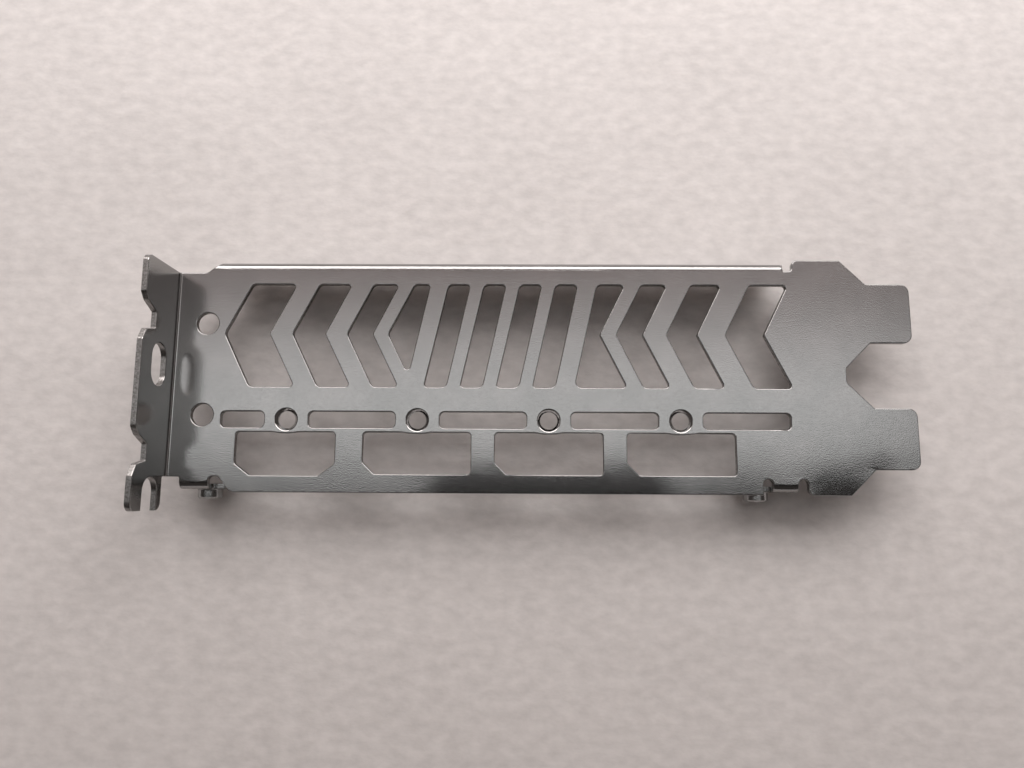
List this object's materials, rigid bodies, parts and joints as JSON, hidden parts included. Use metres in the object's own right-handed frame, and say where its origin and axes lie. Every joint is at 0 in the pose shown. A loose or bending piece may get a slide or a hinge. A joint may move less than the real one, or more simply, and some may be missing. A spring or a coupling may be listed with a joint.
{
  "type": "pci slot cover bracket",
  "caption": "Folded sheet-steel bracket for a two-slot expansion card, with a screw flange, card-slot tongues, connector openings and chevron vents.",
  "frame": {"origin": "middle of the bounding box in X and Y, at the level of the cut edges that the bracket lies on", "axes": "+X from the mounting flange to the card-slot tongues, +Y across the two slots towards the side flange, +Z out of the plate's outer face"},
  "size_m": [0.12, 0.041, 0.0186],
  "materials": {
    "plated_steel": "satin bright plating on cold-rolled steel sheet"
  },
  "bodies": {
    "root": {"bracket": "plated_steel"}
  },
  "joints": []
}
